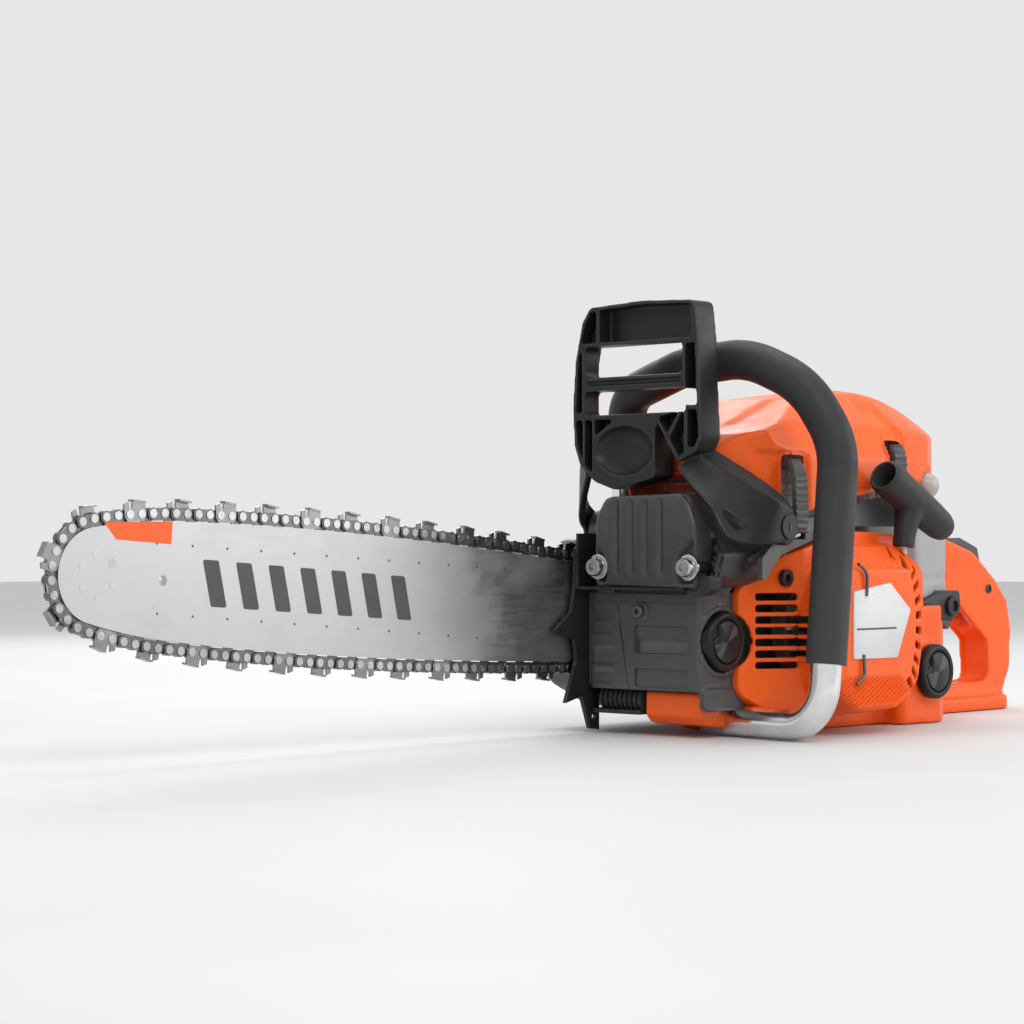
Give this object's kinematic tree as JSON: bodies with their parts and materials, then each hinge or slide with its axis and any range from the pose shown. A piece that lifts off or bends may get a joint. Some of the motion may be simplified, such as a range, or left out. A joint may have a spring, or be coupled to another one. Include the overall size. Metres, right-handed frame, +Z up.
{
  "type": "chainsaw",
  "caption": "Petrol chainsaw with guide bar, saw chain, front hand guard, wrap-round front handle, recoil starter and rear throttle handle.",
  "frame": {"origin": "on the flat underside of the tank and handle unit, under the engine, 28 mm in front of the crank axis, in the middle plane of the handles", "axes": "the guide bar points along -X, the rear handle along +X, the clutch and bar side is +Y, the starter side is -Y, +Z is up"},
  "size_m": [0.858, 0.229, 0.2849],
  "materials": {
    "orange_plastic": "satin moulded",
    "black_plastic": "fine grained moulding",
    "rubber": "soft matt",
    "magnesium": "grey coated casting",
    "grey_plastic": "satin moulded",
    "aluminium": "as cast and machined",
    "muffler_coat": "heat-proof satin coat",
    "black_steel": "black oxide",
    "bright_steel": "machined",
    "bar_steel": "fine ground",
    "chain_dark_steel": "blued and oiled",
    "chain_chrome": "hard chromed",
    "handle_tube": "polished tube",
    "label": "silver foil",
    "red_plastic": "glossy",
    "clear_plastic": "translucent",
    "filter_felt": "pleated felt",
    "rope": "braided nylon"
  },
  "bodies": {
    "saw_body": {"crankcase_left": "magnesium", "crankcase_right": "magnesium", "main_bearings": "bright_steel", "cylinder": "aluminium", "spark_plug": "bright_steel", "ignition_module": "black_plastic", "ignition_lead": "rubber", "starter_housing": "orange_plastic", "label_plate": "label", "recoil_spring": "bright_steel", "starter_rope": "rope", "muffler": "muffler_coat", "muffler_bolts": "bright_steel", "heat_shield": "black_steel", "decompression_valve": "black_plastic", "cylinder_cover": "orange_plastic", "side_panel": "magnesium", "air_box": "grey_plastic", "intake_boot": "rubber", "carburettor": "aluminium", "air_filter": "filter_felt", "purge_bulb": "clear_plastic", "rear_handle": "orange_plastic", "front_handle": "handle_tube", "handle_grip": "rubber", "pivot_pins": "black_steel", "brake_band": "black_steel", "clutch_cover": "magnesium", "bar_studs_and_nuts": "bright_steel", "chain_catcher": "black_plastic", "spike_bumper": "black_steel", "av_mounts": "rubber", "oil_pump": "bright_steel", "housing_screws": "black_steel", "chain_drive_links": "chain_dark_steel", "chain_straps_and_rivets": "chain_dark_steel", "chain_cutters": "chain_chrome"},
    "crank_train": {"crankshaft": "bright_steel", "flywheel": "aluminium", "clutch": "bright_steel"},
    "clutch_drum": {"clutch_drum": "bright_steel"},
    "piston": {"piston": "aluminium", "connecting_rod": "bright_steel"},
    "bar": {"guide_bar": "bar_steel"},
    "nose_sprocket": {"nose_sprocket": "bright_steel"},
    "starter_handle": {"starter_handle": "black_plastic"},
    "rope_pulley": {"rope_pulley": "black_plastic", "rope_winding": "rope"},
    "hand_guard": {"hand_guard": "black_plastic"},
    "throttle_trigger": {"throttle_trigger": "black_plastic"},
    "throttle_lockout": {"throttle_lockout": "black_plastic"},
    "throttle_rod": {"throttle_rod": "bright_steel"},
    "throttle_butterfly": {"throttle_butterfly": "bright_steel"},
    "decompression_button": {"decompression_button": "red_plastic"},
    "oil_cap": {"oil_cap": "black_plastic"},
    "oil_cap_tab": {"oil_cap_tab": "black_plastic"},
    "fuel_cap": {"fuel_cap": "black_plastic"},
    "fuel_cap_tab": {"fuel_cap_tab": "black_plastic"},
    "cover_clip_front": {"cover_clip_front": "black_plastic"},
    "cover_clip_rear": {"cover_clip_rear": "black_plastic"}
  },
  "joints": [
    {"name": "crank_spin", "type": "hinge", "parent": "saw_body", "child": "crank_train", "pos_m": [0.028, 0, 0.0715], "axis": [0, 1, 0], "continuous": true},
    {"name": "drum_spin", "type": "hinge", "parent": "saw_body", "child": "clutch_drum", "pos_m": [0.028, 0, 0.0715], "axis": [0, 1, 0], "continuous": true},
    {"name": "nose_spin", "type": "hinge", "parent": "bar", "child": "nose_sprocket", "pos_m": [-0.48465, 0.055, 0.10735], "axis": [0, 1, 0], "continuous": true},
    {"name": "piston_stroke", "type": "slide", "parent": "saw_body", "child": "piston", "axis": [0, 0, -1], "range_m": [0, 0.036]},
    {"name": "bar_tension", "type": "slide", "parent": "saw_body", "child": "bar", "axis": [0.9976, 0, -0.0698], "range_m": [0, 0.005]},
    {"name": "starter_pull", "type": "slide", "parent": "saw_body", "child": "starter_handle", "axis": [0, 0, 1], "range_m": [0, 0.7], "stiffness_N_per_m": 20, "springref_m": -0.3},
    {"name": "pulley_spin", "type": "hinge", "parent": "saw_body", "child": "rope_pulley", "pos_m": [0.028, 0, 0.0715], "axis": [0, -1, 0], "range_deg": [0, 1135]},
    {"name": "guard_push", "type": "hinge", "parent": "saw_body", "child": "hand_guard", "pos_m": [-0.042, 0, 0.136], "axis": [0, -1, 0], "range_deg": [0, 9]},
    {"name": "trigger_pull", "type": "hinge", "parent": "saw_body", "child": "throttle_trigger", "pos_m": [0.25, 0, 0.1], "axis": [0, -1, 0], "range_deg": [0, 18], "stiffness_Nm_per_rad": 0.5, "springref_deg": -17.19},
    {"name": "lockout_press", "type": "hinge", "parent": "saw_body", "child": "throttle_lockout", "pos_m": [0.268, 0, 0.108], "axis": [0, 1, 0], "range_deg": [0, 8], "stiffness_Nm_per_rad": 0.5, "springref_deg": -17.19},
    {"name": "rod_slide", "type": "slide", "parent": "saw_body", "child": "throttle_rod", "axis": [-1, 0, 0], "range_m": [0, 0.0081]},
    {"name": "butterfly_turn", "type": "hinge", "parent": "saw_body", "child": "throttle_butterfly", "pos_m": [0.134, 0, 0.122], "axis": [0, 1, 0], "range_deg": [0, 75.5]},
    {"name": "decompression_press", "type": "slide", "parent": "saw_body", "child": "decompression_button", "axis": [0, 0, -1], "range_m": [0, 0.004], "stiffness_N_per_m": 300, "springref_m": -0.003},
    {"name": "oil_cap_turn", "type": "hinge", "parent": "saw_body", "child": "oil_cap", "pos_m": [-0.066, -0.05, 0.062], "axis": [0, -1, 0], "range_deg": [0, 90]},
    {"name": "oil_tab_flip", "type": "hinge", "parent": "oil_cap", "child": "oil_cap_tab", "pos_m": [-0.066, -0.0556, 0.0475], "axis": [1, 0, 0], "range_deg": [0, 90]},
    {"name": "fuel_cap_turn", "type": "hinge", "parent": "saw_body", "child": "fuel_cap", "pos_m": [0.146, -0.068, 0.036], "axis": [0, -1, 0], "range_deg": [0, 90]},
    {"name": "fuel_tab_flip", "type": "hinge", "parent": "fuel_cap", "child": "fuel_cap_tab", "pos_m": [0.146, -0.0736, 0.0215], "axis": [1, 0, 0], "range_deg": [0, 90]},
    {"name": "clip_front_open", "type": "hinge", "parent": "saw_body", "child": "cover_clip_front", "pos_m": [-0.02, -0.077, 0.134], "axis": [1, 0, 0], "range_deg": [0, 50]},
    {"name": "clip_rear_open", "type": "hinge", "parent": "saw_body", "child": "cover_clip_rear", "pos_m": [0.098, -0.07, 0.164], "axis": [1, 0, 0], "range_deg": [0, 60]}
  ],
  "couplings": [
    {"joint": "nose_spin", "follows": "drum_spin", "ratio": 0.58333},
    {"joint": "pulley_spin", "follows": "starter_pull", "rad_per_m": 28.169},
    {"joint": "rod_slide", "follows": "trigger_pull", "m_per_rad": 0.0255},
    {"joint": "butterfly_turn", "follows": "trigger_pull", "ratio": 4.1667}
  ]
}
